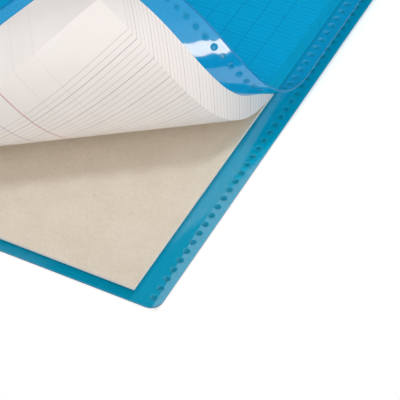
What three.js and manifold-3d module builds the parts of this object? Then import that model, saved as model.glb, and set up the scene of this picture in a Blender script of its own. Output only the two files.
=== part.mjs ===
// Stapled writing pad with a translucent plastic cover and a rolled-up corner.
// Millimetres, +Z up. The pad lies face up: +Y points to its stapled head, +X to its right side.
// The origin is at the middle of the pad's footprint, on the surface that it lies on.

import * as THREE from 'three';
import { mergeVertices } from 'three/addons/utils/BufferGeometryUtils.js';
import Module from 'manifold-3d';

const wasm = await Module();
wasm.setup();

// Leaves: each tears off at the perforation, and its head stays behind in the stub
const LEAF_WIDTH = 210;
const LEAF_LENGTH = 297;
const STUB_LENGTH = 21;
const LEAF_COUNT = 50;
const LEAF_PAPER = 0.1;
const LEAF_AIR = 0.05;

// Grey backing board under the leaves
const BOARD_THICKNESS = 0.9;

// Plastic cover: one sheet that runs under the board, up the head and over the leaves
const COVER_SHEET = 0.5;
const SIDE_OVERHANG = 10;
const TAIL_OVERHANG = 4.1;
const COVER_CORNER_RADIUS = 4;

// Slit left at the perforation and at the front cover's crease
const CREASE_GAP = 0.3;

// Rolled corner: the tail's right corner is rolled up about an axis that slants across the pad
const ROLL_SLANT = THREE.MathUtils.degToRad(36);
const ROLLED_LENGTH = 80.3;
const ROLL_RADIUS = 28.4;
const ROLL_TURN = THREE.MathUtils.degToRad(165);
const ROLL_STEPS = 15;

// Staples of square wire, driven from the front and clinched under the back
const STAPLE_COUNT = 3;
const STAPLE_SPACING = 70;
const STAPLE_SETBACK = 9;
const STAPLE_CROWN = 13;
const STAPLE_WIRE = 0.5;
const STAPLE_FOOT = 5;
const WIRE_CLEARANCE = 0.3;

// Sides of the flat polygons that stand for a round corner and for a wire's or fold's small bend
const ROUND_CORNER_STEPS = 6;
const BEND_STEPS = 3;

// Points closer together than this are one point
const SAME_POINT = 1e-4;

// Heights of the layers
const boardBottom = COVER_SHEET;
const boardTop = boardBottom + BOARD_THICKNESS;
const leafPitch = LEAF_PAPER + LEAF_AIR;
const stackHeight = LEAF_COUNT * leafPitch;
const stackTop = boardTop + stackHeight;
const coverTop = stackTop + COVER_SHEET;

// Places along the pad, from tail to head
const coverLength = TAIL_OVERHANG + LEAF_LENGTH + STUB_LENGTH + COVER_SHEET;
const coverWidth = LEAF_WIDTH + 2 * SIDE_OVERHANG;
const coverTail = -coverLength / 2;
const leafTail = coverTail + TAIL_OVERHANG;
const perforation = leafTail + LEAF_LENGTH;
const stubHead = perforation + STUB_LENGTH;
const spineHead = stubHead + COVER_SHEET;
const stubTail = perforation + CREASE_GAP / 2;
const leafHead = perforation - CREASE_GAP / 2;
const stapleY = stubHead - STAPLE_SETBACK;

// Materials

const plastic = (color) => new THREE.MeshStandardMaterial({ color, roughness: 0.25, metalness: 0 });
const paper = (color) => new THREE.MeshStandardMaterial({ color, roughness: 0.9, metalness: 0 });
const coverMaterial = plastic(0x008bb0);
const frontCoverMaterial = plastic(0x0096d2);
const boardMaterial = paper(0xe0d4c2);
const leafMaterial = paper(0xf4f1ec);
const wireMaterial = new THREE.MeshStandardMaterial({ color: 0xb9bcc0, roughness: 0.35, metalness: 1 });

// Solids and booleans

function toSolid(geometry) {
  const bare = geometry.clone();
  bare.deleteAttribute('normal');
  bare.deleteAttribute('uv');
  const merged = mergeVertices(bare, SAME_POINT);
  const vertProperties = new Float32Array(merged.attributes.position.array);
  const triVerts = new Uint32Array(merged.index.array);
  return new wasm.Manifold(new wasm.Mesh({ numProp: 3, vertProperties, triVerts }));
}

function toGeometry(solid) {
  const mesh = solid.getMesh();
  const geometry = new THREE.BufferGeometry();
  geometry.setAttribute('position', new THREE.BufferAttribute(mesh.vertProperties, 3));
  geometry.setIndex(new THREE.BufferAttribute(mesh.triVerts, 1));
  geometry.computeVertexNormals();
  return geometry;
}

// A box between two opposite corners, each given as [x, y, z]
function boxBetween(low, high) {
  const size = high.map((value, axis) => value - low[axis]);
  const middle = high.map((value, axis) => (value + low[axis]) / 2);
  return new THREE.BoxGeometry(...size).translate(...middle);
}

// Sheets with a rolled corner

// The roll's own directions on the flat sheet: along its axis, and across it towards the head
const rollAlong = new THREE.Vector2(Math.cos(ROLL_SLANT), Math.sin(ROLL_SLANT));
const rollAcross = new THREE.Vector2(-Math.sin(ROLL_SLANT), Math.cos(ROLL_SLANT));
const leafCorner = new THREE.Vector2(LEAF_WIDTH / 2, leafTail);
const liftLine = leafCorner.dot(rollAcross) + ROLLED_LENGTH;
const bendAngle = ROLL_TURN / ROLL_STEPS;

// The stack bends at the same angles in every layer, so that the layers stay parallel.
// depth is the layer's distance inside the last leaf's underside, where the radius is ROLL_RADIUS.
// Each bend is given by its distance from the lift line along the sheet, its place across, and its height.
function bendsAt(depth) {
  const halfFacet = (ROLL_RADIUS - depth) * Math.tan(bendAngle / 2);
  const bends = [{ distance: halfFacet, across: liftLine - halfFacet, height: boardTop + depth }];
  for (let i = 1; i < ROLL_STEPS; i++) {
    const last = bends[i - 1];
    bends.push({
      distance: last.distance + 2 * halfFacet,
      across: last.across - 2 * halfFacet * Math.cos(i * bendAngle),
      height: last.height + 2 * halfFacet * Math.sin(i * bendAngle),
    });
  }
  return bends;
}

// The outline with a point added wherever it crosses a bend.
// Each point knows which strips between bends it belongs to: two if it lies on a bend, and otherwise one.
function splitAtBends(outline, bends) {
  const distanceOf = (point) => liftLine - point.dot(rollAcross);
  const passedAt = (distance) => bends.filter((bend) => bend.distance < distance).length;
  const points = [];
  outline.forEach((start, i) => {
    const end = outline[(i + 1) % outline.length];
    const from = distanceOf(start);
    const to = distanceOf(end);
    points.push({ point: start, distance: from, strips: [passedAt(from)] });
    const crossed = bends
      .map((bend, number) => ({ share: (bend.distance - from) / (to - from), number }))
      .filter(({ share }) => share > 0 && share < 1)
      .sort((a, b) => a.share - b.share);
    for (const { share, number } of crossed) {
      const point = start.clone().lerp(end, share);
      points.push({ point, distance: bends[number].distance, strips: [number, number + 1] });
    }
  });
  return points;
}

// Place of an outline point on the sheet's face at the given depth
function placeOnRoll(item, depth, midDepth, midBends) {
  const along = item.point.dot(rollAlong);
  let across = item.point.dot(rollAcross);
  let height = boardTop + depth;
  const strip = item.strips[0];
  if (item.strips.length === 2) {
    ({ across, height } = bendsAt(depth)[strip]);
  } else if (strip > 0) {
    const bend = midBends[strip - 1];
    const angle = strip * bendAngle;
    const beyond = item.distance - bend.distance;
    const inward = depth - midDepth;
    across = bend.across - beyond * Math.cos(angle) + inward * Math.sin(angle);
    height = bend.height + beyond * Math.sin(angle) + inward * Math.cos(angle);
  }
  return [
    along * rollAlong.x + across * rollAcross.x,
    along * rollAlong.y + across * rollAcross.y,
    height,
  ];
}

// A sheet between two depths in the stack, from its flat outline, counter-clockwise and convex
function rolledSheet(outline, lowDepth, highDepth) {
  const midDepth = (lowDepth + highDepth) / 2;
  const midBends = bendsAt(midDepth);
  const items = splitAtBends(outline, midBends);
  const count = items.length;
  const positions = [lowDepth, highDepth]
    .flatMap((depth) => items.map((item) => placeOnRoll(item, depth, midDepth, midBends)))
    .flat();
  const index = [];
  for (let strip = 0; strip <= ROLL_STEPS; strip++) {
    const corners = items
      .map((item, number) => ({ item, number }))
      .filter(({ item }) => item.strips.includes(strip))
      .map(({ number }) => number);
    for (let i = 1; i + 1 < corners.length; i++) {
      const [a, b, c] = [corners[0], corners[i], corners[i + 1]];
      index.push(a, c, b);
      index.push(count + a, count + b, count + c);
    }
  }
  for (let a = 0; a < count; a++) {
    const b = (a + 1) % count;
    index.push(a, b, count + b);
    index.push(a, count + b, count + a);
  }
  const geometry = new THREE.BufferGeometry();
  geometry.setAttribute('position', new THREE.Float32BufferAttribute(positions, 3));
  geometry.setIndex(index);
  geometry.computeVertexNormals();
  return geometry;
}

// Flat outlines

function leafOutline() {
  const side = LEAF_WIDTH / 2;
  return [
    new THREE.Vector2(-side, leafTail),
    new THREE.Vector2(side, leafTail),
    new THREE.Vector2(side, leafHead),
    new THREE.Vector2(-side, leafHead),
  ];
}

// The cover's outline from its rounded tail corners up to a straight edge at headY
function coverOutline(headY) {
  const side = coverWidth / 2;
  const round = COVER_CORNER_RADIUS;
  const shape = new THREE.Shape();
  shape.moveTo(side, headY);
  shape.lineTo(-side, headY);
  shape.lineTo(-side, coverTail + round);
  shape.absarc(-side + round, coverTail + round, round, Math.PI, 1.5 * Math.PI);
  shape.lineTo(side - round, coverTail);
  shape.absarc(side - round, coverTail + round, round, 1.5 * Math.PI, 2 * Math.PI);
  shape.closePath();
  return shape;
}

function outlinePoints(shape) {
  const points = shape.extractPoints(ROUND_CORNER_STEPS).shape;
  return points.filter((point, i) => point.distanceTo(points[(i + 1) % points.length]) > SAME_POINT);
}

// Staples

const stapleXs = Array.from(
  { length: STAPLE_COUNT },
  (unused, i) => (i - (STAPLE_COUNT - 1) / 2) * STAPLE_SPACING,
);
const slotHalfLength = STAPLE_CROWN / 2 + WIRE_CLEARANCE;
const slotHalfWidth = STAPLE_WIRE / 2 + WIRE_CLEARANCE;
const pocketTop = STAPLE_WIRE + COVER_SHEET;

// Clinched staple, seen along Y: crown on the front, legs through the pad, feet turned in under it
function stapleGeometry() {
  const half = STAPLE_CROWN / 2;
  const wire = STAPLE_WIRE;
  const top = coverTop + wire;
  const footEnd = half - STAPLE_FOOT;
  const shape = new THREE.Shape();
  shape.moveTo(footEnd, 0);
  shape.lineTo(half - wire, 0);
  shape.absarc(half - wire, wire, wire, -Math.PI / 2, 0);
  shape.lineTo(half, top - wire);
  shape.absarc(half - wire, top - wire, wire, 0, Math.PI / 2);
  shape.lineTo(-half + wire, top);
  shape.absarc(-half + wire, top - wire, wire, Math.PI / 2, Math.PI);
  shape.lineTo(-half, wire);
  shape.absarc(-half + wire, wire, wire, Math.PI, 1.5 * Math.PI);
  shape.lineTo(-footEnd, 0);
  shape.lineTo(-footEnd, wire);
  shape.lineTo(-half + wire, wire);
  shape.lineTo(-half + wire, top - wire);
  shape.lineTo(half - wire, top - wire);
  shape.lineTo(half - wire, wire);
  shape.lineTo(footEnd, wire);
  shape.closePath();
  const geometry = new THREE.ExtrudeGeometry(shape, {
    depth: wire,
    bevelEnabled: false,
    curveSegments: BEND_STEPS,
  });
  const standing = new THREE.Matrix4().makeBasis(
    new THREE.Vector3(1, 0, 0),
    new THREE.Vector3(0, 0, 1),
    new THREE.Vector3(0, -1, 0),
  );
  return geometry.translate(0, 0, -wire / 2).applyMatrix4(standing);
}

// Box shapes centred on a staple: its two leg holes, its slot, and the pocket round the slot
function legHoles(x, low, high) {
  const legOffset = (STAPLE_CROWN - STAPLE_WIRE) / 2;
  return [-legOffset, legOffset].map((offset) =>
    boxBetween(
      [x + offset - slotHalfWidth, stapleY - slotHalfWidth, low],
      [x + offset + slotHalfWidth, stapleY + slotHalfWidth, high],
    ),
  );
}

function stapleBox(x, margin, low, high) {
  return boxBetween(
    [x - slotHalfLength - margin, stapleY - slotHalfWidth - margin, low],
    [x + slotHalfLength + margin, stapleY + slotHalfWidth + margin, high],
  );
}

const throughLow = -COVER_SHEET;
const throughHigh = coverTop + COVER_SHEET;

function cutLegHoles(solid) {
  let cut = solid;
  for (const x of stapleXs) {
    for (const hole of legHoles(x, throughLow, throughHigh)) cut = cut.subtract(toSolid(hole));
  }
  return cut;
}

// Pieces

// Back panel, spine and the strip over the stub, all one folded sheet.
// The clinched feet have pressed pockets up into it, so that they lie level with its underside.
function wraparoundCover() {
  const panel = new THREE.ExtrudeGeometry(coverOutline(spineHead - COVER_SHEET), {
    depth: COVER_SHEET,
    bevelEnabled: false,
    curveSegments: ROUND_CORNER_STEPS,
  });
  const fold = new THREE.Shape();
  fold.moveTo(stubHead, 0);
  fold.absarc(stubHead, COVER_SHEET, COVER_SHEET, -Math.PI / 2, 0);
  fold.lineTo(spineHead, stackTop);
  fold.absarc(stubHead, stackTop, COVER_SHEET, 0, Math.PI / 2);
  fold.lineTo(stubTail, coverTop);
  fold.lineTo(stubTail, stackTop);
  fold.lineTo(stubHead, stackTop);
  fold.closePath();
  const across = new THREE.Matrix4().makeBasis(
    new THREE.Vector3(0, 1, 0),
    new THREE.Vector3(0, 0, 1),
    new THREE.Vector3(1, 0, 0),
  );
  const spine = new THREE.ExtrudeGeometry(fold, {
    depth: coverWidth,
    bevelEnabled: false,
    curveSegments: BEND_STEPS,
  });
  spine.translate(0, 0, -coverWidth / 2).applyMatrix4(across);
  let solid = toSolid(panel).add(toSolid(spine));
  for (const x of stapleXs) {
    solid = solid.add(toSolid(stapleBox(x, COVER_SHEET, COVER_SHEET, pocketTop)));
    solid = solid.subtract(toSolid(stapleBox(x, 0, throughLow, STAPLE_WIRE)));
  }
  return toGeometry(cutLegHoles(solid));
}

function backingBoard() {
  const side = LEAF_WIDTH / 2;
  let solid = toSolid(boxBetween([-side, leafTail, boardBottom], [side, stubHead, boardTop]));
  for (const x of stapleXs) {
    const pocketRoom = stapleBox(x, COVER_SHEET + WIRE_CLEARANCE, throughLow, pocketTop);
    solid = solid.subtract(toSolid(pocketRoom));
  }
  return toGeometry(cutLegHoles(solid));
}

// Heads of all the leaves, pressed tight by the staples
function stubBlock() {
  const side = LEAF_WIDTH / 2;
  const block = boxBetween([-side, stubTail, boardTop], [side, stubHead, stackTop]);
  return toGeometry(cutLegHoles(toSolid(block)));
}

// Leaf 1 is the top page and the last leaf lies on the board, with half an air gap below and above each
function leafSheet(number) {
  const low = (LEAF_COUNT - number) * leafPitch + LEAF_AIR / 2;
  return rolledSheet(leafOutline(), low, low + LEAF_PAPER);
}

function frontCover() {
  return rolledSheet(outlinePoints(coverOutline(leafHead)), stackHeight, stackHeight + COVER_SHEET);
}

// The pad

const pad = new THREE.Group();

function addPiece(name, geometry, material) {
  const mesh = new THREE.Mesh(geometry, material);
  mesh.name = name;
  pad.add(mesh);
  return mesh;
}

addPiece('wraparound_cover', wraparoundCover(), coverMaterial);
addPiece('backing_board', backingBoard(), boardMaterial);
addPiece('stub_block', stubBlock(), leafMaterial);
addPiece('front_cover', frontCover(), frontCoverMaterial);

for (let number = 1; number <= LEAF_COUNT; number++) {
  addPiece(`leaf_${String(number).padStart(2, '0')}`, leafSheet(number), leafMaterial);
}

stapleXs.forEach((x, i) => {
  addPiece(`staple_${i + 1}`, stapleGeometry(), wireMaterial).position.set(x, stapleY, 0);
});

export default pad;
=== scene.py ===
# %% [markdown]
# # A stapled writing pad with a rolled-up corner
# The pad lies on a white table. Its tail corner is rolled up, so that the ruled back of the last leaf,
# the grey board and the blue back cover all show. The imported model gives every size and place, and this
# file gives the surfaces: paper with its ruling, grey board, and translucent plastic sheet with dots.

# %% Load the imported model
import math

import bpy
import numpy as np
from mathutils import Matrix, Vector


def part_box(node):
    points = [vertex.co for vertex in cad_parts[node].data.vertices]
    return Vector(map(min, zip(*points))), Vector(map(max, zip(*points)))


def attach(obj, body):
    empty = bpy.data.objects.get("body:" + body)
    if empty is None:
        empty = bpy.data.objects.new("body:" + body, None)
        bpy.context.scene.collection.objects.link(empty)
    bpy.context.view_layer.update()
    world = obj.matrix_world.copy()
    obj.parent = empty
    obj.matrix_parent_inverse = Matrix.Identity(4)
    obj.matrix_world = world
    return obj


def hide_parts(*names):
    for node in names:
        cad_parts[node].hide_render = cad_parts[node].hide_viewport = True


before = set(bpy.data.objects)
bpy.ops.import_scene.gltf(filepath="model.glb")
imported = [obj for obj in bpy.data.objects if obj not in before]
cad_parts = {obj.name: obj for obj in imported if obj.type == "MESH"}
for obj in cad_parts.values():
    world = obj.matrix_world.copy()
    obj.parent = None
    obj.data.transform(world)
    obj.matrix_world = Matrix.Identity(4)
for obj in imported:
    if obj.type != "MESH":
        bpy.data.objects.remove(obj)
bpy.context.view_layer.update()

# %% [markdown]
# Every size below is in millimetres, because a pad is measured so. The frame's boxes give the places of the
# layers, and only what a box can't tell is a number here: the roll's shape, the paper and the dots. A leaf
# is drawn 0.14 mm thick in its place of 0.15 mm. Real paper is 0.1 mm, but the dark gaps that this leaves
# would put a grey smear on the side of the stack, which is bright and even on the real pad.

# %% Sizes of the pad
MM = 0.001


def box_mm(node):
    """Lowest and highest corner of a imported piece, in millimetres."""
    low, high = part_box(node)
    return np.array(low) / MM, np.array(high) / MM


COVER_LOW, COVER_HIGH = box_mm("wraparound_cover")
BOARD_LOW, BOARD_HIGH = box_mm("backing_board")
STUB_LOW, STUB_HIGH = box_mm("stub_block")
STAPLE_LOW, STAPLE_HIGH = box_mm("staple_1")

LEAF_NAMES = sorted(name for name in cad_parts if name.startswith("leaf_"))
SHEET = BOARD_LOW[2]
STACK_BOTTOM = STUB_LOW[2]
STACK_TOP = STUB_HIGH[2]
LEAF_PITCH = (STACK_TOP - STACK_BOTTOM) / len(LEAF_NAMES)
LEAF_PAPER = 0.14
LEAF_SIDE = BOARD_HIGH[0]
LEAF_TAIL = BOARD_LOW[1]
LEAF_HEAD = box_mm("leaf_01")[1][1]
CREASE = box_mm("front_cover")[1][1]
print("leaves:", len(LEAF_NAMES), "pitch:", round(LEAF_PITCH, 3), "stack:", STACK_BOTTOM, "to", STACK_TOP)

# %% [markdown]
# The corner is rolled about an axis that slants across the pad. Towards the head the sheets lie flat. Past
# the lift line each layer follows its own circle, and the outermost one, the back of the last leaf, has the
# largest radius. The layers end in a straight stretch once they have turned far enough.

# %% The roll
ROLL_SLANT = math.radians(36)
ROLLED_LENGTH = 80.3
ROLL_RADIUS = 28.4
ROLL_TURN = math.radians(165)
ALONG = np.array([math.cos(ROLL_SLANT), math.sin(ROLL_SLANT)])
ACROSS = np.array([-math.sin(ROLL_SLANT), math.cos(ROLL_SLANT)])
LIFT_LINE = float(np.array([LEAF_SIDE, LEAF_TAIL]) @ ACROSS + ROLLED_LENGTH)


def roll_up(flat, depth):
    """Place of points of the flat sheet, depth above the last leaf's underside.

    Beyond the lift line a point's distance s along the sheet becomes the angle s / radius on its layer's
    circle, whose radius is ROLL_RADIUS less the depth. Past ROLL_TURN it goes straight on.
    """
    along = flat @ ALONG
    across = flat @ ACROSS
    radius = ROLL_RADIUS - depth
    distance = np.maximum(LIFT_LINE - across, 0)
    angle = np.minimum(distance / radius, ROLL_TURN)
    straight = np.maximum(distance - radius * ROLL_TURN, 0)
    rolled = LIFT_LINE - radius * np.sin(angle) - straight * np.cos(angle)
    placed = np.where(distance > 0, rolled, across)
    height = depth + radius * (1 - np.cos(angle)) + straight * np.sin(angle)
    plan = along[:, None] * ALONG + placed[:, None] * ACROSS
    return np.column_stack([plan, STACK_BOTTOM + height])


print("lift line:", round(LIFT_LINE, 2), "mm across")

# %% [markdown]
# Every sheet is made the same way: a flat net of quads, worked out as whole arrays, is placed twice, once
# for its lower and once for its upper face, and walls close it all round. Each point keeps its flat place as
# its UV, in millimetres, so that a pattern printed on the flat sheet follows the paper round the roll. The
# rims are marked sharp: a cut sheet mirrors evenly right up to its edge, and smoothing would bend the image.

# %% Two helpers that make a closed sheet
def mark_sharp(mesh, pairs):
    """Marks the edges between those pairs of points as sharp. Both lists are matched by one number a pair."""
    count = len(mesh.vertices)
    ends = np.empty(2 * len(mesh.edges), int)
    mesh.edges.foreach_get("vertices", ends)
    ends = np.sort(ends.reshape(-1, 2), axis=1)
    pairs = np.sort(pairs, axis=1)
    sharp = np.isin(ends[:, 0] * count + ends[:, 1], pairs[:, 0] * count + pairs[:, 1])
    mesh.attributes.new("sharp_edge", "BOOLEAN", "EDGE").data.foreach_set("value", sharp)


def closed_sheet(name, flat, quads, place, low, high, materials, pressed=None):
    """Two copies of a flat net of quads, at the depths low and high, joined round the rim.

    A depth is one number or one for each point. materials are the upper face's, the lower's and the rim's.
    pressed is kept as an attribute, for a material that changes where the sheet was pressed.
    """
    count = len(flat)
    points = np.vstack([place(flat, low), place(flat, high)]) * MM
    edges = np.stack([quads, np.roll(quads, -1, axis=1)], axis=2).reshape(-1, 2)
    key = edges[:, 0] * count + edges[:, 1]
    reversed_key = edges[:, 1] * count + edges[:, 0]
    rim = edges[~np.isin(key, reversed_key)]
    walls = np.column_stack([rim, rim[:, ::-1] + count])
    faces = np.vstack([quads + count, quads[:, ::-1], walls])

    mesh = bpy.data.meshes.new(name)
    mesh.from_pydata(points.tolist(), [], faces.tolist())
    printed = np.column_stack([LEAF_SIDE - flat[:, 0], flat[:, 1] - LEAF_TAIL])
    uv = mesh.uv_layers.new(name="SheetMillimetres")
    uv.data.foreach_set("uv", printed[faces.ravel() % count].ravel())
    if pressed is not None:
        mesh.attributes.new("Pressed", "FLOAT", "POINT").data.foreach_set("value", np.tile(pressed, 2))
    for material in materials:
        mesh.materials.append(material)
    sides = np.repeat([0, 1, 2], [len(quads), len(quads), len(walls)])
    mesh.polygons.foreach_set("material_index", sides)
    mesh.polygons.foreach_set("use_smooth", sides < 2)
    mesh.validate()
    mark_sharp(mesh, np.vstack([rim, rim + count]))
    piece = bpy.data.objects.new(name, mesh)
    bpy.context.scene.collection.objects.link(piece)
    return piece


# %% [markdown]
# ## Materials
# One function turns a colour as seen on a screen into the linear light that shaders work in, and one adds
# a node with its settings and links. The others are the steps that come back in every material: a sum, a
# ramp, a noise, a mix of two colours and a bump.

# %% Colour and node helpers
def linear(hex_colour):
    """sRGB hex to linear red, green and blue by the standard's curve, with an alpha of 1."""
    parts = np.array([int(hex_colour[i : i + 2], 16) / 255 for i in (1, 3, 5)])
    light = np.where(parts <= 0.04045, parts / 12.92, ((parts + 0.055) / 1.055) ** 2.4)
    return (*[float(value) for value in light], 1.0)


def add(tree, kind, settings=None, **inputs):
    """A new node, with its settings, and its inputs by name or number, each a value or another's output."""
    node = tree.nodes.new(kind)
    for name, value in (settings or {}).items():
        setattr(node, name, value)
    for name, value in inputs.items():
        socket = node.inputs[int(name[1:])] if name[0] == "_" else node.inputs[name.replace("_", " ")]
        if isinstance(value, bpy.types.NodeSocket):
            tree.links.new(value, socket)
        else:
            socket.default_value = value
    return node


def new_material(name):
    """An empty material, its tree and its output node."""
    material = bpy.data.materials.new(name)
    material.use_nodes = True
    material.node_tree.nodes.clear()
    return material, material.node_tree, add(material.node_tree, "ShaderNodeOutputMaterial")


def math_node(tree, operation, *values):
    """The result of one arithmetic step on values or sockets."""
    inputs = {f"_{i}": value for i, value in enumerate(values)}
    return add(tree, "ShaderNodeMath", {"operation": operation}, **inputs).outputs[0]


def rise(tree, value, low, high, bottom=0.0, top=1.0, step="LINEAR"):
    """From bottom, where the value is low, to top, where it is high, and level beyond both."""
    limits = {"From_Min": low, "From_Max": high, "To_Min": bottom, "To_Max": top}
    return add(tree, "ShaderNodeMapRange", {"interpolation_type": step}, Value=value, **limits).outputs[0]


def noise(tree, place, grain, detail, roughness=0.5):
    """A cloudy noise round 0.5, whose lumps are about grain across."""
    inputs = {"Scale": 1 / grain, "Detail": detail, "Roughness": roughness}
    return add(tree, "ShaderNodeTexNoise", Vector=place, **inputs).outputs[0]


def blend(tree, share, first, second):
    """The first colour, with a share of the second in its place."""
    mix = add(tree, "ShaderNodeMix", {"data_type": "RGBA"}, Factor=share, A=first, B=second)
    return mix.outputs["Result"]


def bump(tree, height, depth, strength=1.0):
    """The direction of a surface that rises by that height, times depth."""
    return add(tree, "ShaderNodeBump", Height=height, Strength=strength, Distance=depth).outputs[0]


def axes(tree, vector):
    """A vector's x, y and z."""
    return add(tree, "ShaderNodeSeparateXYZ", Vector=vector).outputs


def object_place(tree):
    """A point's place on its object, in metres."""
    return add(tree, "ShaderNodeTexCoord").outputs["Object"]


# %% [markdown]
# The leaves are uncoated writing paper, printed in pale inks. The ruling is the French one: fine lines 2 mm
# apart with a heavier one every 8 mm, crossed by lines 8 mm apart and a red margin line. Paper is matt and
# very slightly uneven, and its colour is a warm white. An ink's share says how much of the paper it covers.

# %% Ruled paper
FINE_PITCH = 2.0
HEAVY_PITCH = 8.0
FINE_LINE = 0.14
HEAVY_LINE = 0.17
MARGIN_LINE = 0.24
FIRST_HEAVY = 17.5
FAINT_SIDE = 27.0
FINE_INK = 0.66
HEAVY_INK = 0.7
CROSS_INK = 0.8
FAINT_CROSS_INK = 0.15
MARGIN_INK = 0.85
PAPER_GRAIN = 0.9
PAPER_CLOUD = 14.0
PAPER_TONES = (0.5, 1.0)
PAPER_RELIEF = 0.02
PAPER_ROUGHNESS = 0.85
PAPER_SHINE = 0.3
PAPER_IOR = 1.5


def stripe(tree, coordinate, pitch, offset, width):
    """1 on lines of that width, pitch apart, one of them at offset, and 0 between them.

    The distance to the nearest line is pitch times how far (coordinate - offset) / pitch is from whole.
    """
    turns = math_node(tree, "DIVIDE", math_node(tree, "SUBTRACT", coordinate, offset), pitch)
    off = math_node(tree, "ABSOLUTE", math_node(tree, "SUBTRACT", turns, math_node(tree, "ROUND", turns)))
    return math_node(tree, "LESS_THAN", math_node(tree, "MULTIPLY", off, pitch), width / 2)


def between(tree, coordinate, low, high):
    """1 where the coordinate lies between two values."""
    above = math_node(tree, "GREATER_THAN", coordinate, low)
    return math_node(tree, "MULTIPLY", above, math_node(tree, "LESS_THAN", coordinate, high))


def inked(tree, base, mask, strength, ink):
    """The colour under an ink, where the mask says how much of it lies there."""
    return blend(tree, math_node(tree, "MULTIPLY", mask, strength), base, linear(ink))


def ruled_paper(name, margin, cross):
    """Writing paper ruled from the tail up, with its red line and its cross lines that far from the side.

    From FAINT_SIDE to cross, the cross lines only show through from the sheet's other side.
    """
    material, tree, output = new_material(name)
    uv = add(tree, "ShaderNodeUVMap", {"uv_map": "SheetMillimetres"}).outputs[0]
    side, up, _ = axes(tree, uv)

    grain = noise(tree, uv, PAPER_GRAIN, detail=4.0, roughness=0.6)
    cloud = noise(tree, uv, PAPER_CLOUD, detail=2.0)
    tone = math_node(tree, "ADD", math_node(tree, "MULTIPLY", grain, 0.5), cloud)
    colour = blend(tree, rise(tree, tone, *PAPER_TONES), linear("#F1EDE9"), linear("#F6F3F0"))

    lines_start = FIRST_HEAVY - 2 * FINE_PITCH - FINE_PITCH / 2
    ruled = math_node(tree, "GREATER_THAN", up, lines_start)
    fine = math_node(tree, "MULTIPLY", stripe(tree, up, FINE_PITCH, FIRST_HEAVY, FINE_LINE), ruled)
    heavy_from = math_node(tree, "GREATER_THAN", up, FIRST_HEAVY - FINE_PITCH / 2)
    heavy = math_node(tree, "MULTIPLY", stripe(tree, up, HEAVY_PITCH, FIRST_HEAVY, HEAVY_LINE), heavy_from)
    colour = inked(tree, colour, fine, FINE_INK, "#9A8FA0")
    colour = inked(tree, colour, heavy, HEAVY_INK, "#857D93")
    upright = stripe(tree, side, HEAVY_PITCH, cross, HEAVY_LINE)
    beyond = math_node(tree, "GREATER_THAN", side, cross - HEAVY_PITCH / 2)
    near = between(tree, side, FAINT_SIDE - HEAVY_PITCH / 2, cross - HEAVY_PITCH / 2)
    faint = math_node(tree, "MULTIPLY", near, FAINT_CROSS_INK)
    share = math_node(tree, "ADD", faint, math_node(tree, "MULTIPLY", beyond, CROSS_INK))
    colour = inked(tree, colour, math_node(tree, "MULTIPLY", upright, share), 1.0, "#7C7A95")
    red = between(tree, side, margin - MARGIN_LINE / 2, margin + MARGIN_LINE / 2)
    colour = inked(tree, colour, red, MARGIN_INK, "#BE5F6C")

    add_surface(tree, output, colour, bump(tree, grain, PAPER_RELIEF * MM, strength=0.15))
    return material


def add_surface(tree, output, colour, normal):
    """Matt uncoated paper: rough, and hardly any shine."""
    matt = {"Roughness": PAPER_ROUGHNESS, "Specular_IOR_Level": PAPER_SHINE, "IOR": PAPER_IOR}
    shader = add(tree, "ShaderNodeBsdfPrincipled", Base_Color=colour, Normal=normal, **matt)
    tree.links.new(shader.outputs[0], output.inputs[0])


paper_back = ruled_paper("uncoated paper, printed back", margin=43.0, cross=51.2)
paper_front = ruled_paper("uncoated paper, printed front", margin=170.0, cross=10.0)
print("paper:", paper_back.name, "and", paper_front.name)

# %% [markdown]
# The stub is the same paper cut clean and pressed tight, so its sides show the edges of its sheets as fine
# level lines. They are 0.15 mm apart, which is too fine to show, so they are drawn four times coarser.

# %% Cut edges of the stub
STUB_LINES = 4 * LEAF_PITCH
STUB_BLOTCH = 8.0
EDGE_RELIEF = 0.05


def cut_paper_edges():
    """Pale paper with level lines as the sheets' edges make, on the object's own height."""
    material, tree, output = new_material("cut edges of pressed paper")
    place = object_place(tree)
    layers = math_node(tree, "FRACT", math_node(tree, "DIVIDE", axes(tree, place)[2], STUB_LINES * MM))
    wave = math_node(tree, "PINGPONG", layers, 0.5)
    blotch = noise(tree, place, STUB_BLOTCH * MM, detail=3.0)
    tone = math_node(tree, "ADD", wave, math_node(tree, "MULTIPLY", blotch, 0.5))
    colour = blend(tree, tone, linear("#D9D3CB"), linear("#F4F0EA"))
    add_surface(tree, output, colour, bump(tree, wave, EDGE_RELIEF * MM, strength=0.3))
    return material


paper_edges = cut_paper_edges()
print("stub lines:", round(STUB_LINES, 2), "mm apart")

# %% [markdown]
# The backing is grey board, pressed from waste paper. It is a warm light grey with soft clouds, a fine
# fibre grain under a millimetre across, and a few darker flecks of bark and ink.

# %% Grey board
BOARD_CLOUD = 11.0
BOARD_FIBRE = 0.9
BOARD_FLECK = 1.3
BOARD_TONES = (0.45, 1.05)
FLECK_STARTS = 0.74
FLECK_FULL = 0.8
FLECK_SHARE = 0.45
LIT_CUT_SHARE = 0.9


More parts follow.
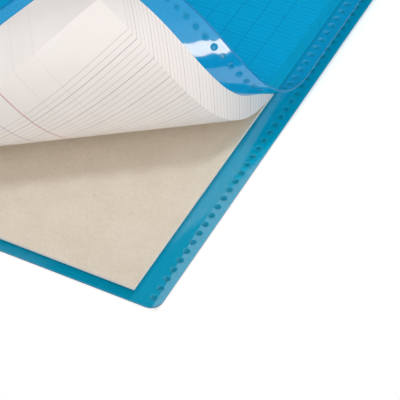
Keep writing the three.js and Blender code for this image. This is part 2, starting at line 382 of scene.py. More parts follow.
def grey_board():
    """Board colour from three noises: clouds, fibres, and the rare peaks of a third one as flecks.

    Where the surface stands upright the board is cut, and its fibres are paler; there it is painted near
    white, partly for those fibres and partly as painted light that the cut side catches.
    """
    material, tree, output = new_material("pressed grey board")
    place = object_place(tree)
    cloud = noise(tree, place, BOARD_CLOUD * MM, detail=3.0)
    fibre = noise(tree, place, BOARD_FIBRE * MM, detail=5.0, roughness=0.7)
    fleck = noise(tree, place, BOARD_FLECK * MM, detail=1.0, roughness=0.4)
    tone = math_node(tree, "ADD", math_node(tree, "MULTIPLY", cloud, 0.5), fibre)
    colour = blend(tree, rise(tree, tone, *BOARD_TONES), linear("#D0C6B3"), linear("#E2D9CA"))
    colour = inked(tree, colour, rise(tree, fleck, FLECK_STARTS, FLECK_FULL), FLECK_SHARE, "#A09281")
    normal = axes(tree, add(tree, "ShaderNodeNewGeometry").outputs["Normal"])
    # Upright faces: paler cut fibres and painted light together
    colour = inked(tree, colour, math_node(tree, "LESS_THAN", normal[2], 0.5), LIT_CUT_SHARE, "#FBF8F2")
    add_surface(tree, output, colour, bump(tree, fibre, EDGE_RELIEF * MM, strength=0.25))
    return material


board_grey = grey_board()
print("board:", board_grey.name)

# %% [markdown]
# The cover is extruded polypropylene sheet, half a millimetre thick, dyed blue in the mass. Light goes
# through it and comes back blue, so most of each face is a tinted clear filter, and a share of it is milky.
# Each face takes half of the tint, its square root, because light meets two. Over both lies the smooth
# skin of the sheet: it mirrors a few hundredths of the light head on and more at a grazing angle. The
# Fresnel node isn't used for that, because inside a sheet that doesn't bend light it would mirror it all.
# The photographed sheet mirrors twice as much as the bare resin would, so its share has a gain. Only the
# outer side of a face mirrors: inside the sheet the image would add nothing but a loss of light.

# %% Skin of the sheet
PLASTIC_IOR = 1.49
GLOSS_GAIN = 2.1
HEAD_ON = GLOSS_GAIN * ((PLASTIC_IOR - 1) / (PLASTIC_IOR + 1)) ** 2
SKIN_ROUGHNESS = 0.1
MILKY_ROUGHNESS = 0.5
RIPPLE_LENGTH = 24.0
RIPPLE_HEIGHT = 0.15


def waves(tree, place):
    """The long ripples of extruded sheet: a broad noise, in parts of its own height."""
    return noise(tree, place, RIPPLE_LENGTH * MM, detail=1.0)


print("mirrored head on:", round(HEAD_ON, 3))

# %% [markdown]
# Two places of the sheet get little light: a narrow stretch of the back cover against the board's edge, and
# the stretch of the front cover that hangs over the stack's side, down to whose foot the light hardly comes.
# A lamp that is bright enough for the rest can't show that, so the sheet lets less light through there.

# %% Shaded stretches of the sheet
SHADE_WIDTH = 1.7
SHADE_AT_BOARD = (0.8, 0.8, 0.8)
TAIL_SHARE = 0.2
STACK_SIDE = (0.0, 3.3, 3.4, 4.2)
ROLL_CLEARS = 3.0
SHADE_AT_STACK = (1.0, 0.88, 0.96)


def beside_board(tree, place):
    """How far the sheet's upper face is closed in by the board: 1 against it, and 0 from SHADE_WIDTH on.

    It falls evenly with the distance beyond the board's side plus TAIL_SHARE of that beyond its tail edge.
    """
    x, y, z = axes(tree, place)
    side = math_node(tree, "ABSOLUTE", x)
    beside = math_node(tree, "MAXIMUM", math_node(tree, "SUBTRACT", side, LEAF_SIDE * MM), 0.0)
    below = math_node(tree, "MAXIMUM", math_node(tree, "SUBTRACT", LEAF_TAIL * MM, y), 0.0)
    away = math_node(tree, "MULTIPLY_ADD", below, TAIL_SHARE, beside)
    upper_face = between(tree, z, SHEET / 2 * MM, 1.5 * SHEET * MM)
    return math_node(tree, "MULTIPLY", rise(tree, away, SHADE_WIDTH * MM, 0.0), upper_face)


def over_stack_side(tree, place):
    """1 where the flat sheet hangs over the stack's side, whose foot gets little light, and 0 elsewhere.

    STACK_SIDE says where it starts, is full, begins to fade and ends, in millimetres beyond the leaves. It
    fades out too where the sheet rises into the roll, over ROLL_CLEARS of height.
    """
    uv = add(tree, "ShaderNodeUVMap", {"uv_map": "SheetMillimetres"}).outputs[0]
    across = math_node(tree, "SUBTRACT", axes(tree, uv)[0], LEAF_SIDE)
    beyond = math_node(tree, "SUBTRACT", math_node(tree, "ABSOLUTE", across), LEAF_SIDE)
    start, full, fade, end = STACK_SIDE
    over = math_node(tree, "MULTIPLY", rise(tree, beyond, start, full), rise(tree, beyond, end, fade))
    flat_top = STACK_TOP + SHEET
    low = rise(tree, axes(tree, place)[2], (flat_top + ROLL_CLEARS) * MM, flat_top * MM)
    return math_node(tree, "MULTIPLY", over, low)


print("shaded:", SHADE_WIDTH, "mm beside the board and up to", STACK_SIDE[-1], "mm beside the stack")

# %% [markdown]
# A pressed dot is pale at its rim, where the plastic was stretched, and that pale rim is a painted highlight
# as well. Its middle gets a painted shade: a darker tint, where the curve of a real dimple bends light away.
# Its skin is a little rough, so it mirrors less, and less sharply, than the sheet round it. RIM_DEPTH and
# DOT_SHADE_FROM are shares of the dot's full depth.

# %% Translucent blue sheet
WHITENED_AND_LIT_PLASTIC = "#7CD6F0"
WHITENED_AND_LIT_SHARE = 0.05
RIM_DEPTH = 0.06
DOT_SHADE_FROM = 0.4
DOT_SHADE_SHARES = (0.5, 0.86, 0.86)
DOT_ROUGHNESS = 0.16
DOT_GLOSS = 0.3


def plastic_sheet(
    name,
    through,
    milky,
    haze,
    height=waves,
    depth=RIPPLE_HEIGHT * MM,
    polish=1.0,
    closed_in=None,
    left_over=None,
    gloss_left=1.0,
):
    """Filter and milky plastic mixed by haze, and over them a mirror, whose surface has that height.

    The mirror's share is Schlick's: head_on + (1 - head_on) * facing^5, facing being 0 head on and 1 edge on.
    Pressed is 1 in the middle of a dot and 0 at its rim: the rim has gone pale, partly as a painted
    highlight, and the middle gets a painted shade.
    Polish is the share of that mirror which the surface has: less on a cut edge than on the skin.
    Where closed_in says 1, each face lets only left_over of the red, green and blue light through, and keeps
    only gloss_left of its mirror image: a painted shade.
    """
    material, tree, output = new_material(name)
    pressed = add(tree, "ShaderNodeAttribute", {"attribute_name": "Pressed"}).outputs["Fac"]
    # Painted shade in a dot's middle; the pale rim is stretched plastic and painted highlight together
    deep = rise(tree, pressed, RIM_DEPTH, DOT_SHADE_FROM)
    rising = rise(tree, pressed, 0.0, RIM_DEPTH)
    pale = math_node(tree, "MULTIPLY", rising, math_node(tree, "SUBTRACT", 1.0, deep))

    tint = [math.sqrt(value) for value in linear(through)[:3]]
    deeper = [share * value for share, value in zip(DOT_SHADE_SHARES, tint)]
    seen_through = blend(tree, deep, (*tint, 1.0), (*deeper, 1.0))
    place = object_place(tree)
    gloss = math_node(tree, "MULTIPLY_ADD", rising, DOT_GLOSS - polish, polish)
    if closed_in:
        closed = closed_in(tree, place)
        dimmed = add(tree, "ShaderNodeVectorMath", {"operation": "MULTIPLY"}, _0=seen_through, _1=left_over)
        seen_through = blend(tree, closed, seen_through, dimmed.outputs[0])
        kept_gloss = math_node(tree, "MULTIPLY_ADD", closed, gloss_left - 1.0, 1.0)
        gloss = math_node(tree, "MULTIPLY", gloss, kept_gloss)
    film = add(tree, "ShaderNodeBsdfTransparent", Color=seen_through)
    mass = blend(tree, pale, linear(milky), linear(WHITENED_AND_LIT_PLASTIC))
    dull = {"Roughness": MILKY_ROUGHNESS, "Specular_IOR_Level": 0.0}
    body = add(tree, "ShaderNodeBsdfPrincipled", Base_Color=mass, **dull)
    share = math_node(tree, "MULTIPLY_ADD", pale, WHITENED_AND_LIT_SHARE, haze)
    inside = add(tree, "ShaderNodeMixShader", _0=share, _1=film.outputs[0], _2=body.outputs[0])

    normal = bump(tree, height(tree, place), depth)
    rough = math_node(tree, "MULTIPLY_ADD", rising, DOT_ROUGHNESS - SKIN_ROUGHNESS, SKIN_ROUGHNESS)
    skin = add(tree, "ShaderNodeBsdfGlossy", Color=gloss, Roughness=rough, Normal=normal)
    facing = add(tree, "ShaderNodeLayerWeight", Blend=0.5).outputs["Facing"]
    mirrored = math_node(tree, "MULTIPLY_ADD", math_node(tree, "POWER", facing, 5.0), 1 - HEAD_ON, HEAD_ON)
    outside = math_node(tree, "SUBTRACT", 1.0, add(tree, "ShaderNodeNewGeometry").outputs["Backfacing"])
    mirrored = math_node(tree, "MULTIPLY", mirrored, outside)
    surface = add(tree, "ShaderNodeMixShader", _0=mirrored, _1=inside.outputs[0], _2=skin.outputs[0])
    tree.links.new(surface.outputs[0], output.inputs[0])
    return material


# %% [markdown]
# The overhang of the back cover isn't quite flat: its outer part slopes off a little. The fall is hardly more
# than the sheet's thickness, so it is drawn as a bump, a height that falls by a small share of its width.
# The flat rest of it mirrors the pale roll, which needs no drawing.

# %% Slope of the back cover's overhang
SLOPE = math.tan(math.radians(9.0))
OUTER_FROM = 5.8
OUTER_AT_TAIL = (-157.0, -128.0, 8.0)
OUTER_AT_HEAD = (-76.0, -96.0, 10.0)


def overhang_slope(tree, place):
    """Millimetres of height: the ripples, less a fall of SLOPE for each millimetre of the outer stretch.

    That stretch runs to the edge. It starts OUTER_FROM beyond the leaves along the middle, and its start
    changes evenly towards each end: (where it begins to change, where it is at the full value, the value).
    """
    x, y, _ = axes(tree, place)
    side = math_node(tree, "DIVIDE", math_node(tree, "ABSOLUTE", x), MM)
    starts = []
    for end, full, value in (OUTER_AT_TAIL, OUTER_AT_HEAD):
        levels = (LEAF_SIDE + value, LEAF_SIDE + OUTER_FROM)
        starts.append(rise(tree, y, end * MM, full * MM, *levels))
    start = math_node(tree, "MAXIMUM", *starts)
    beyond = math_node(tree, "MAXIMUM", math_node(tree, "SUBTRACT", side, start), 0.0)
    fall = math_node(tree, "MULTIPLY", beyond, -SLOPE)
    return math_node(tree, "MULTIPLY_ADD", waves(tree, place), RIPPLE_HEIGHT, fall)


print("overhang slopes from", OUTER_FROM, "mm beyond the leaves")

# %% [markdown]
# Both covers are the same plastic. The back one, which lies on the table, has a painted shade: its tint and
# its milky mass are darker than those of the front one, on paper, which has painted light. Their cut edges
# show more of the milky mass, because light has a long way through the sheet there; the back edge is painted
# dark, a painted shade, and the front edge bright, painted light. The knife has left the front one rather
# dull.

# %% The four plastics
HAZE = 0.22
BACK_RIM_HAZE = 0.6
FRONT_RIM_HAZE = 0.5
CUT_POLISH = 0.35
# Painted shade: the back sheet gets a darker tint and milky mass than the front one, of the same plastic
shaded_back_plastic = plastic_sheet(
    "blue polypropylene sheet, back",
    "#00DCF4",
    "#0099CB",
    HAZE,
    height=overhang_slope,
    depth=MM,
    closed_in=beside_board,
    left_over=SHADE_AT_BOARD,
    gloss_left=0.0,
)
lit_front_plastic = plastic_sheet(
    "blue polypropylene sheet, front",
    "#00E0FF",
    "#00CEF8",
    HAZE,
    closed_in=over_stack_side,
    left_over=SHADE_AT_STACK,
)
# Painted shade on the back sheet's cut edge, painted light on the front sheet's cut edge
shaded_back_rim = plastic_sheet("cut edge of the back sheet", "#007A9C", "#1F6E8E", BACK_RIM_HAZE)
lit_front_rim = plastic_sheet(
    "cut edge of the front sheet",
    "#20B8E6",
    "#30A4D4",
    FRONT_RIM_HAZE,
    polish=CUT_POLISH,
)
print("plastic:", shaded_back_plastic.name, "and", lit_front_plastic.name)

# %% [markdown]
# Staples are drawn steel wire with a thin zinc plating: bright, with fine scratches along the wire.

# %% Staple wire
SCRATCH_WIDTH = 0.12
SCRATCH_STRETCH = (0.05, 1.0, 1.0)
WIRE_ROUGHNESS = (0.2, 0.42)


def staple_wire():
    """Plated steel, its roughness varied by a noise stretched along the crown."""
    material, tree, output = new_material("zinc-plated drawn steel wire")
    stretched = add(tree, "ShaderNodeMapping", Vector=object_place(tree), Scale=SCRATCH_STRETCH)
    scratch = noise(tree, stretched.outputs[0], SCRATCH_WIDTH * MM, detail=3.0)
    metal = {"Roughness": rise(tree, scratch, 0.0, 1.0, *WIRE_ROUGHNESS), "Metallic": 1.0}
    shader = add(tree, "ShaderNodeBsdfPrincipled", Base_Color=linear("#C9CCD0"), **metal)
    tree.links.new(shader.outputs[0], output.inputs[0])
    return material


wire = staple_wire()
print("wire:", wire.name)

# %% [markdown]
# ## The leaves
# Each leaf is a rectangle of paper, rolled at one corner. A net whose rows run along the roll's axis fits it
# best: within a row nothing bends, so few columns do, and the rows crowd only where the paper curves. Every
# row runs from one edge of the leaf to the other.

# %% A leaf's flat net
ROLL_ROWS = 66
FLAT_ROWS = 8
LEAF_COLUMNS = 5
CORNER_TRIM = 0.05


def leaf_net():
    """Rows at set distances from the lift line, each cut off by the leaf's four edges.

    On a row, x = along * cos - across * sin and y = along * sin + across * cos, so each edge sets a limit on
    along, and the row runs between the two tightest ones.
    """
    corners = np.array([[x, y] for x in (-LEAF_SIDE, LEAF_SIDE) for y in (LEAF_TAIL, LEAF_HEAD)])
    marks = np.sort(LIFT_LINE - corners @ ACROSS)[::-1]
    marks[0] -= CORNER_TRIM
    marks[-1] += CORNER_TRIM
    rolled = np.linspace(marks[0], 0, ROLL_ROWS)
    flat_marks = np.concatenate([[0], marks[marks < 0]])
    flat = [np.linspace(a, b, FLAT_ROWS)[1:] for a, b in zip(flat_marks[:-1], flat_marks[1:])]
    distance = np.concatenate([rolled, *flat])
    across = LIFT_LINE - distance
    cos, sin = ALONG
    low = np.maximum((-LEAF_SIDE + across * sin) / cos, (LEAF_TAIL - across * cos) / sin)
    high = np.minimum((LEAF_SIDE + across * sin) / cos, (LEAF_HEAD - across * cos) / sin)
    share = np.linspace(0, 1, LEAF_COLUMNS)
    along = low[:, None] + (high - low)[:, None] * share
    points = along[..., None] * ALONG + across[:, None, None] * ACROSS
    index = np.arange(points.shape[0] * LEAF_COLUMNS).reshape(-1, LEAF_COLUMNS)
    quads = np.stack([index[:-1, :-1], index[:-1, 1:], index[1:, 1:], index[1:, :-1]], axis=2)
    return points.reshape(-1, 2), quads.reshape(-1, 4)


leaf_flat, leaf_quads = leaf_net()
print("leaf net:", len(leaf_flat), "points,", len(leaf_quads), "quads")

# %% [markdown]
# All fifty leaves have the same net, and each is placed one layer lower than the one before. The last one is
# the lowest, so its printed back is what shows on the outside of the roll.

# %% The fifty leaves
for number, name in enumerate(LEAF_NAMES):
    middle = (len(LEAF_NAMES) - number - 0.5) * LEAF_PITCH
    leaf = closed_sheet(
        "ruled_" + name,
        leaf_flat,
        leaf_quads,
        roll_up,
        middle - LEAF_PAPER / 2,
        middle + LEAF_PAPER / 2,
        [paper_front, paper_back, paper_back],
    )
    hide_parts(name)
    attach(leaf, "leaves")
print("leaves made:", len(LEAF_NAMES))

# %% [markdown]
# ## The covers
# Both covers have a row of dots pressed down into the sheet along each side. The net is a plain grid of rows
# and columns. Round each dot a block of four by four cells is taken out, and rings of points take its place,
# so that the dot is a true round dimple. On the front cover it goes right through and stands out below. The
# back cover lies on the table, so only its upper face is dimpled, and its row starts nearer to the tail.

# %% Sizes of the dots
DOT_PITCH = 4.32
DOT_RADIUS = 1.25
DOT_DEPTH = 0.24
DOT_INSET = 3.2
DOT_FIRST_BACK = 4.3
DOT_FIRST_FRONT = 6.5
DOT_CELLS = 4
BAND_HALF = 1.4
DOT_RINGS = np.array([1.3, 1.25, 1.12, 0.9, 0.66, 0.42, 0.2])
CORNER_RADIUS = 4.0
ARC_ROWS = 10
ROW_GAP = 0.1
ROUNDING = 1e-6
COVER_SIDE = COVER_HIGH[0]
COVER_TAIL = COVER_LOW[1]
COLUMNS_END = COVER_SIDE - 2 * DOT_INSET


def dot_depth(radius):
    """A shallow round cap: its depth times 1 - (distance from its middle / its radius)^2."""
    return DOT_DEPTH * (1 - np.minimum(radius / DOT_RADIUS, 1) ** 2)


def grid(columns, rows):
    """Indices of a grid's points, rows by columns, its flat points, and its cells as quads."""
    index = np.arange(len(rows) * len(columns)).reshape(len(rows), len(columns))
    x, y = np.meshgrid(columns, rows)
    cells = np.stack([index[:-1, :-1], index[:-1, 1:], index[1:, 1:], index[1:, :-1]], axis=2)
    return index, np.column_stack([x.ravel(), y.ravel()]), cells


print("dots:", 2 * DOT_RADIUS, "mm wide,", DOT_DEPTH, "mm deep, every", DOT_PITCH, "mm")

# %% [markdown]
# A dot's block has sixteen points round its edge. Each ring has sixteen points too, in the same directions
# from the middle, so that quads join ring to ring. Eight quads close the middle.

# %% Blocks with dots in them
def ring_of_block():
    """Row and column steps of the sixteen points round a block, counter-clockwise from its low corner."""
    steps = np.arange(DOT_CELLS)
    zero = np.zeros(DOT_CELLS, int)
    full = zero + DOT_CELLS
    rows = np.concatenate([zero, steps, full, DOT_CELLS - steps])
    columns = np.concatenate([steps, full, DOT_CELLS - steps, zero])
    return rows, columns


def add_dots(index, flat, cells, first_row, first_column, count):
    """Takes count blocks out of the grid, one above the other, and fills them with rings.

    Returns the new flat points, their depths, the quads that fill the blocks, and the mask of cells taken.
    """
    rows, columns = ring_of_block()
    starts = first_row + DOT_CELLS * np.arange(count)
    border = index[starts[:, None] + rows, first_column + columns]
    middle = flat[index[starts + DOT_CELLS // 2, first_column + DOT_CELLS // 2]]
    offset = flat[border] - middle[:, None]
    direction = offset / np.linalg.norm(offset, axis=2, keepdims=True)
    rings = middle[:, None, None] + DOT_RINGS[None, :, None, None] * direction[:, None]
    new = np.concatenate([rings.reshape(count, -1, 2), middle[:, None]], axis=1)
    per_dot = new.shape[1]
    sides = len(rows)
    base = len(flat) + per_dot * np.arange(count)[:, None, None]
    ring_index = base + np.arange(len(DOT_RINGS))[None, :, None] * sides + np.arange(sides)
    loops = np.concatenate([border[:, None], ring_index], axis=1)
    onward = np.roll(loops, -1, axis=2)
    bands = np.stack([loops[:, :-1], onward[:, :-1], onward[:, 1:], loops[:, 1:]], axis=3).reshape(-1, 4)
    last = loops[:, -1]
    hub = np.broadcast_to(base[:, 0] + per_dot - 1, (count, sides // 2))
    even = np.arange(0, sides, 2)
    cap_corners = [hub, last[:, even], last[:, even + 1], last[:, (even + 2) % sides]]
    caps = np.stack(cap_corners, axis=2).reshape(-1, 4)
    heights = np.concatenate([np.repeat(dot_depth(DOT_RINGS), sides), [dot_depth(0.0)]])
    taken = np.zeros(cells.shape[:2], bool)
    taken[first_row : first_row + DOT_CELLS * count, first_column : first_column + DOT_CELLS] = True
    return new.reshape(-1, 2), np.tile(heights, count), np.vstack([bands, caps]), taken


# %% [markdown]
# The tail corners of the covers are round. The grid's outermost columns are drawn in there, so that its
# border follows the arc, while the dots stay where they are.

# %% A cover's flat net
def round_corners(flat, first_dot):
    """Draws the side columns in, so that at height h above the tail the border is at the arc's half width.

    On the arc that half width is side - r + sqrt(r^2 - (r - h)^2). Points inside keep their place.
    """
    height = flat[:, 1] - COVER_TAIL
    below = np.clip(CORNER_RADIUS - height, 0, CORNER_RADIUS)
    half = COVER_SIDE - CORNER_RADIUS + np.sqrt(CORNER_RADIUS**2 - below**2)
    beside_dots = height > first_dot - DOT_PITCH / 2 - ROUNDING
    start = np.where(beside_dots, COVER_SIDE - DOT_INSET + BAND_HALF, COVER_SIDE - 3 * CORNER_RADIUS)
    reach = np.abs(flat[:, 0])
    drawn = start + (reach - start) * (half - start) / (COVER_SIDE - start)
    return np.column_stack([np.sign(flat[:, 0]) * np.where(reach > start, drawn, reach), flat[:, 1]])


def cover_net(inner_columns, first_dot, dots, rows_above):
    """Flat points, quads and heights of a cover with that many dots along each side, from first_dot up."""
    band = COVER_SIDE - DOT_INSET + BAND_HALF * np.linspace(-1, 1, DOT_CELLS + 1)
    columns = np.concatenate([-band[::-1], inner_columns, band])
    columns = np.concatenate([[-COVER_SIDE], columns, [COVER_SIDE]])
    arc = COVER_TAIL + CORNER_RADIUS * (1 - np.cos(np.linspace(0, math.pi / 2, ARC_ROWS)))
    dots_low = COVER_TAIL + first_dot - DOT_PITCH / 2
    dot_rows = dots_low + DOT_PITCH / DOT_CELLS * np.arange(DOT_CELLS * dots + 1)
    rows = np.concatenate([arc[arc < dots_low - ROW_GAP], dot_rows, rows_above])
    index, flat, cells = grid(columns, rows)
    first_row = int(np.searchsorted(rows, dots_low - ROUNDING))
    points, heights, quads = [flat], [np.zeros(len(flat))], []
    left_out = np.zeros(cells.shape[:2], bool)
    for first_column in (1, len(columns) - DOT_CELLS - 2):
        total = np.vstack(points)
        new, height, fill, taken = add_dots(index, total, cells, first_row, first_column, dots)
        points.append(new)
        heights.append(height)
        quads.append(fill)
        left_out |= taken
    quads = np.vstack([cells[~left_out], *quads])
    used, quads = np.unique(quads, return_inverse=True)
    quads = quads.reshape(-1, 4)
    flat = round_corners(np.vstack(points)[used], first_dot)
    return flat, quads, np.concatenate(heights)[used]


# %% [markdown]
# ### The front cover
# It follows the roll with the leaves, on the inside of it. Its columns are close together where it is
# rolled, and far apart where it is flat.

# %% Front cover
FLAT_TO = -48.0
FLAT_COLUMNS = 8
ROLLED_FROM = -46.0
ROLLED_STEP = 1.7
DOT_COUNT_FRONT = int((CREASE - COVER_TAIL - DOT_FIRST_FRONT) / DOT_PITCH)
flat_part = np.linspace(-COLUMNS_END, FLAT_TO, FLAT_COLUMNS)
rolled_part = np.arange(ROLLED_FROM, COLUMNS_END, ROLLED_STEP)
dots_end = COVER_TAIL + DOT_FIRST_FRONT + DOT_PITCH * (DOT_COUNT_FRONT - 0.5)
front_columns = np.concatenate([flat_part, rolled_part])
front_net = cover_net(front_columns, DOT_FIRST_FRONT, DOT_COUNT_FRONT, [(dots_end + CREASE) / 2, CREASE])
stack_height = STACK_TOP - STACK_BOTTOM
front = closed_sheet(
    "front_cover_sheet",
    front_net[0],
    front_net[1],
    roll_up,
    stack_height - front_net[2],
    stack_height + SHEET - front_net[2],
    [lit_front_plastic, lit_front_plastic, lit_front_rim],
    front_net[2] / DOT_DEPTH,
)
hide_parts("front_cover")
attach(front, "front_cover")
print("front cover:", len(front_net[1]), "quads,", DOT_COUNT_FRONT, "dots a side")

# %% [markdown]
# ### Back cover, spine and strip
# One sheet again: it runs flat under the board, turns up at the head, and turns back over the stub. Along
# the sheet a point's distance becomes a place on a path of straight runs and two quarter turns. Its inner
# face keeps a hair clear of the board and the stub: two faces in one place would show as patches.

# %% The folded sheet
HAIR_CLEAR = 0.02
FOLD_INNER = 0.1
FOLD_START = STUB_HIGH[1] - FOLD_INNER
FOLD_OUTER = FOLD_INNER + SHEET
QUARTER = (FOLD_INNER + SHEET / 2) * math.pi / 2
SPINE_RUN = COVER_HIGH[2] - 2 * FOLD_OUTER
STRIP_RUN = FOLD_START - STUB_LOW[1]
TURN_STEPS = np.linspace(0, 1, 7)


def fold_over(flat, depth):
    """Place of points of the flat sheet, depth above its outer face.

    The turn is a quarter circle for each fold passed. The radius is the outer one less the depth.
    """
    run = flat[:, 1]
    first = np.clip((run - FOLD_START) / QUARTER, 0, 1)
    up = np.clip(run - FOLD_START - QUARTER, 0, SPINE_RUN)
    second = np.clip((run - FOLD_START - QUARTER - SPINE_RUN) / QUARTER, 0, 1)
    back = np.maximum(run - FOLD_START - 2 * QUARTER - SPINE_RUN, 0)
    turn = (first + second) * math.pi / 2
    radius = FOLD_OUTER - depth
    y = np.minimum(run, FOLD_START) + radius * np.sin(turn) - back
    z = FOLD_OUTER - radius * np.cos(turn) + up
    return np.column_stack([flat[:, 0], y, z])


print("spine:", round(float(SPINE_RUN), 2), "mm, strip:", round(float(STRIP_RUN), 2), "mm")

# %% [markdown]
# The staples' feet have pressed small pockets up into the back panel. They are part of the same sheet: the
# net gets a few more rows and columns there, and the points inside each pocket are raised.

# %% Back cover
FOOT_ROOM = 0.3
EVEN_COLUMNS = 9
STAPLE_NAMES = sorted(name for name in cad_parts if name.startswith("staple_"))
staple_boxes = [box_mm(name) for name in STAPLE_NAMES]
staple_xs = [(low[0] + high[0]) / 2 for low, high in staple_boxes]
staple_y = (STAPLE_LOW[1] + STAPLE_HIGH[1]) / 2
pocket_half = np.array([STAPLE_HIGH[0] - STAPLE_LOW[0], STAPLE_HIGH[1] - STAPLE_LOW[1]]) / 2 + FOOT_ROOM
pocket_steps = np.array([pocket_half, pocket_half + SHEET])
pocket_columns = [x + side * step for x in staple_xs for side in (-1, 1) for step in pocket_steps[:, 0]]
pocket_rows = [staple_y + side * step for side in (-1, 1) for step in pocket_steps[:, 1]]


def pocket_height(flat):
    """How far the pockets raise each point: the wire's height inside one, and zero beyond its wall."""
    raised = np.zeros(len(flat))
    for x in staple_xs:
        beyond = np.abs(flat - [x, staple_y]) - pocket_half
        share = 1 - np.clip(beyond.max(axis=1) / SHEET, 0, 1)
        raised = np.maximum(raised, SHEET * share)
    return raised


DOT_COUNT_BACK = int((pocket_rows[0] - COVER_TAIL - DOT_FIRST_BACK) / DOT_PITCH)
even_columns = np.linspace(-COLUMNS_END, COLUMNS_END, EVEN_COLUMNS)
back_columns = np.sort(np.concatenate([even_columns, pocket_columns]))
second_fold = FOLD_START + QUARTER + SPINE_RUN
folds = [start + QUARTER * TURN_STEPS for start in (FOLD_START, second_fold)]
strip_end = second_fold + QUARTER + STRIP_RUN
back_rows = np.sort(np.concatenate([pocket_rows, *folds, [strip_end]]))
back_flat, back_quads, back_dots = cover_net(back_columns, DOT_FIRST_BACK, DOT_COUNT_BACK, back_rows)
pockets = pocket_height(back_flat)
back = closed_sheet(
    "back_cover_and_spine",
    back_flat,
    back_quads,
    fold_over,
    pockets,
    SHEET - HAIR_CLEAR + pockets - back_dots,
    [shaded_back_plastic, shaded_back_plastic, shaded_back_rim],
    back_dots / DOT_DEPTH,
)
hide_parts("wraparound_cover")
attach(back, "pad_base")
print("back cover:", len(back_quads), "quads,", DOT_COUNT_BACK, "dots a side")

# %% [markdown]
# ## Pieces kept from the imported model
# The board, the stub and the staples have their true shape already. They only get their materials.

# %% Finish the kept pieces
kept = {"backing_board": board_grey, "stub_block": paper_edges}
kept.update({name: wire for name in STAPLE_NAMES})
for name, material in kept.items():
    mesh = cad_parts[name].data
    mesh.materials.clear()
    mesh.materials.append(material)
print("kept pieces:", len(kept))

# %% [markdown]
# ## Camera
# The photograph was taken from above the tail's right corner, with a long lens. The place below was worked
# out from the vanishing points of the pad's edges. It is measured from the back cover's sharp tail corner.

# %% Camera
CAMERA_FROM_CORNER = np.array([170.9, -308.3, 404.2])
CAMERA_PITCH = math.radians(90 - 45.367)
CAMERA_TURN = math.radians(26.886)
FRAME_PIXELS = 400
FOCAL_PIXELS = 1777.1
SENSOR_WIDTH = 36.0
FAR_END = 20.0

corner = np.array([COVER_SIDE, COVER_TAIL, SHEET])
camera_data = bpy.data.cameras.new("photo camera")
camera_data.sensor_width = SENSOR_WIDTH
camera_data.lens = SENSOR_WIDTH * FOCAL_PIXELS / FRAME_PIXELS
camera_data.clip_end = FAR_END
camera = bpy.data.objects.new("photo camera", camera_data)
camera.location = (corner + CAMERA_FROM_CORNER) * MM
camera.rotation_euler = (CAMERA_PITCH, 0.0, CAMERA_TURN)
bpy.context.scene.collection.objects.link(camera)
bpy.context.scene.camera = camera
print("camera at", [round(value, 4) for value in camera.location], "lens", round(camera_data.lens, 1))

# %% [markdown]
# ## Table and light
# The table is a plain white surface. Its paint keeps the pad's soft shadow, and a little light of its own,
# which only the eye, mirrors and clear plastic see, lifts it to white without lighting the pad. Under the pad
# it has hardly any, so that the table seen through the blue sheet is dark beside the board, as it should be.
# The table ends close behind the pad: the curl of the front cover mirrors its edge as a dark gap, as in the
# photograph. Behind it a second stretch, which mirrors don't show, catches the shadow of the turned leaves.

# %% Table
WHITE_PAINT = (0.8, 0.8, 0.8, 1.0)
TABLE_GLOW = 0.33
GLOW_UNDER_PAD = 0.05
GLOW_STARTS = -1.0
GLOW_FULL = 1.0


def white_table():
    """Diffuse white, plus a faint glow for camera, glossy and transmission rays.

    The glow grows with the distance outside the pad's outline: the largest of how far a point lies beyond
    each of the four edges.
    """
    material, tree, output = new_material("white table")
    paint = add(tree, "ShaderNodeBsdfDiffuse", Color=WHITE_PAINT)
    x, y, _ = axes(tree, object_place(tree))
    beside = math_node(tree, "SUBTRACT", math_node(tree, "ABSOLUTE", x), COVER_HIGH[0] * MM)
    below = math_node(tree, "SUBTRACT", COVER_LOW[1] * MM, y)
    beyond = math_node(tree, "SUBTRACT", y, COVER_HIGH[1] * MM)
    outside = math_node(tree, "MAXIMUM", beside, math_node(tree, "MAXIMUM", below, beyond))
    own_light = rise(tree, outside, GLOW_STARTS * MM, GLOW_FULL * MM, GLOW_UNDER_PAD, TABLE_GLOW)
    path = add(tree, "ShaderNodeLightPath")
    seen = math_node(tree, "MAXIMUM", path.outputs["Is Camera Ray"], path.outputs["Is Glossy Ray"])
    seen = math_node(tree, "MAXIMUM", seen, path.outputs["Is Transmission Ray"])
    glow = add(tree, "ShaderNodeEmission", Strength=math_node(tree, "MULTIPLY", seen, own_light))
    both = add(tree, "ShaderNodeAddShader", _0=paint.outputs[0], _1=glow.outputs[0])
    tree.links.new(both.outputs[0], output.inputs[0])
    return material


TABLE_SIDE = 0.165
TABLE_FRONT = -0.19
TABLE_BACK = 0.24
TABLE_END = 0.52


def table_top(name, front, back):
    """A level rectangle of white table between two distances along the pad, in metres like its width."""
    mesh = bpy.data.meshes.new(name)
    corners = [(-TABLE_SIDE, front, 0), (TABLE_SIDE, front, 0), (TABLE_SIDE, back, 0), (-TABLE_SIDE, back, 0)]
    mesh.from_pydata(corners, [], [(0, 1, 2, 3)])
    mesh.materials.append(table_white)
    top = bpy.data.objects.new(name, mesh)
    bpy.context.scene.collection.objects.link(top)
    return top


table_white = white_table()
table_top("table", TABLE_FRONT, TABLE_BACK)
behind = table_top("table behind the head", TABLE_BACK, TABLE_END)
behind.visible_glossy = False
behind.visible_diffuse = False
print("table:", 2 * TABLE_SIDE, "m wide")

# %% [markdown]
# A softbox hangs over the pad, so the roll throws a soft shadow straight down. A second one stands low in
# front and lights the underside of the roll. Neither shows in the gloss, where it would burn out the blue.
# What shows there is a card before the front one, as a white patch on the curl of the cover. It is warm,
# because the blue of the plastic adds to its image. A pale panel behind shows in the slopes of the overhang.

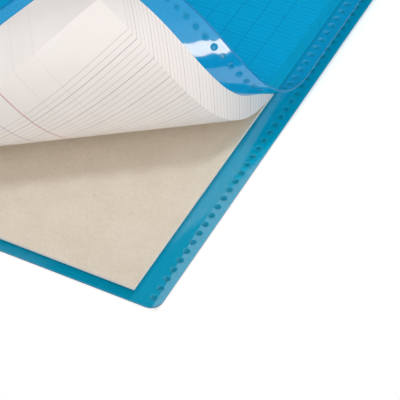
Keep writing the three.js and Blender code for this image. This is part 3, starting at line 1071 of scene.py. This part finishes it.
# %% Lamps
def softbox(name, colour, direction, distance, size, level):
    """A rectangular lamp at a distance from the roll, turned to face it, and level times as bright as white.

    A lamp of power P and area A looks as bright as P / (pi A), so its power is level times pi times A.
    Distance and size are in metres.
    """
    data = bpy.data.lights.new(name, "AREA")
    data.shape = "RECTANGLE"
    data.size, data.size_y = size
    data.energy = level * math.pi * size[0] * size[1]
    data.color = linear(colour)[:3]
    lamp = bpy.data.objects.new(name, data)
    away = np.array(direction) / np.linalg.norm(direction)
    lamp.location = ROLL_PLACE + distance * away
    flat = math.hypot(away[0], away[1])
    lamp.rotation_euler = (math.atan2(flat, away[2]), 0.0, math.atan2(away[1], away[0]) + math.pi / 2)
    bpy.context.scene.collection.objects.link(lamp)
    return lamp


ROLL_PLACE = np.array([0.09, -0.09, 0.02])
OVERHEAD = (-0.05, 0.03, 1.0)
LOW_IN_FRONT = (0.60, -0.73, 0.34)
HIGH_BEHIND = (0.12, 0.62, 0.78)
LAMP_DISTANCE = 1.2
CARD_DISTANCE = 1.15
above = softbox("overhead softbox", "#F4F9FF", OVERHEAD, LAMP_DISTANCE, size=(0.22, 0.22), level=25.0)
above.visible_glossy = False
fill = softbox("front softbox", "#FFFDFC", LOW_IN_FRONT, LAMP_DISTANCE, size=(0.28, 0.56), level=10.4)
fill.visible_glossy = False
shine = softbox("shine card", "#FFE1BC", LOW_IN_FRONT, CARD_DISTANCE, size=(0.32, 0.50), level=8.6)
shine.visible_diffuse = False
shine.visible_transmission = False
softbox("back panel", "#FFFFFF", HIGH_BEHIND, LAMP_DISTANCE, size=(0.70, 0.50), level=1.05)
print("lamps: overhead, front and back, and a card for the gloss")

# %% [markdown]
# The world is a studio: bright from the front, the right and above, and dark behind the pad on the left and
# along the horizon, which keeps the blue of the flat plastic deep. A pair of numbers says where on its axis a
# bright part starts and where it is full. The eye itself sees plain white.

# %% World
SKY_DARK = 0.035
SKY_BRIGHT = 0.455
ABOVE_HORIZON = (0.0, 0.25)
NEAR_ZENITH = (0.7, 0.95)
IN_FRONT = (0.45, -0.1)
ON_RIGHT = (-0.27, 0.6)
RIGHT_GAIN = 1.9
SOFT = "SMOOTHSTEP"

world = bpy.data.worlds.new("studio")
bpy.context.scene.world = world
world.use_nodes = True
sky = world.node_tree
sky.nodes.clear()
x, y, z = axes(sky, add(sky, "ShaderNodeTexCoord").outputs["Generated"])
overhead = rise(sky, z, *NEAR_ZENITH, step=SOFT)
in_front = rise(sky, y, *IN_FRONT, step=SOFT)
on_right = rise(sky, x, *ON_RIGHT, top=RIGHT_GAIN, step=SOFT)
open_sky = math_node(sky, "MAXIMUM", math_node(sky, "MAXIMUM", overhead, in_front), on_right)
open_sky = math_node(sky, "MULTIPLY", open_sky, rise(sky, z, *ABOVE_HORIZON, step=SOFT))
level = math_node(sky, "MULTIPLY_ADD", open_sky, SKY_BRIGHT - SKY_DARK, SKY_DARK)
light = add(sky, "ShaderNodeBackground", Color=linear("#FFF8F5"), Strength=level)
white = add(sky, "ShaderNodeBackground", Color=linear("#FFFFFF"))
seen = add(sky, "ShaderNodeLightPath").outputs["Is Camera Ray"]
shade = add(sky, "ShaderNodeMixShader", Fac=seen, _1=light.outputs[0], _2=white.outputs[0])
add(sky, "ShaderNodeOutputWorld", Surface=shade.outputs[0])
bpy.context.scene.view_settings.view_transform = "Standard"
print("sky from", SKY_DARK, "to", SKY_BRIGHT)
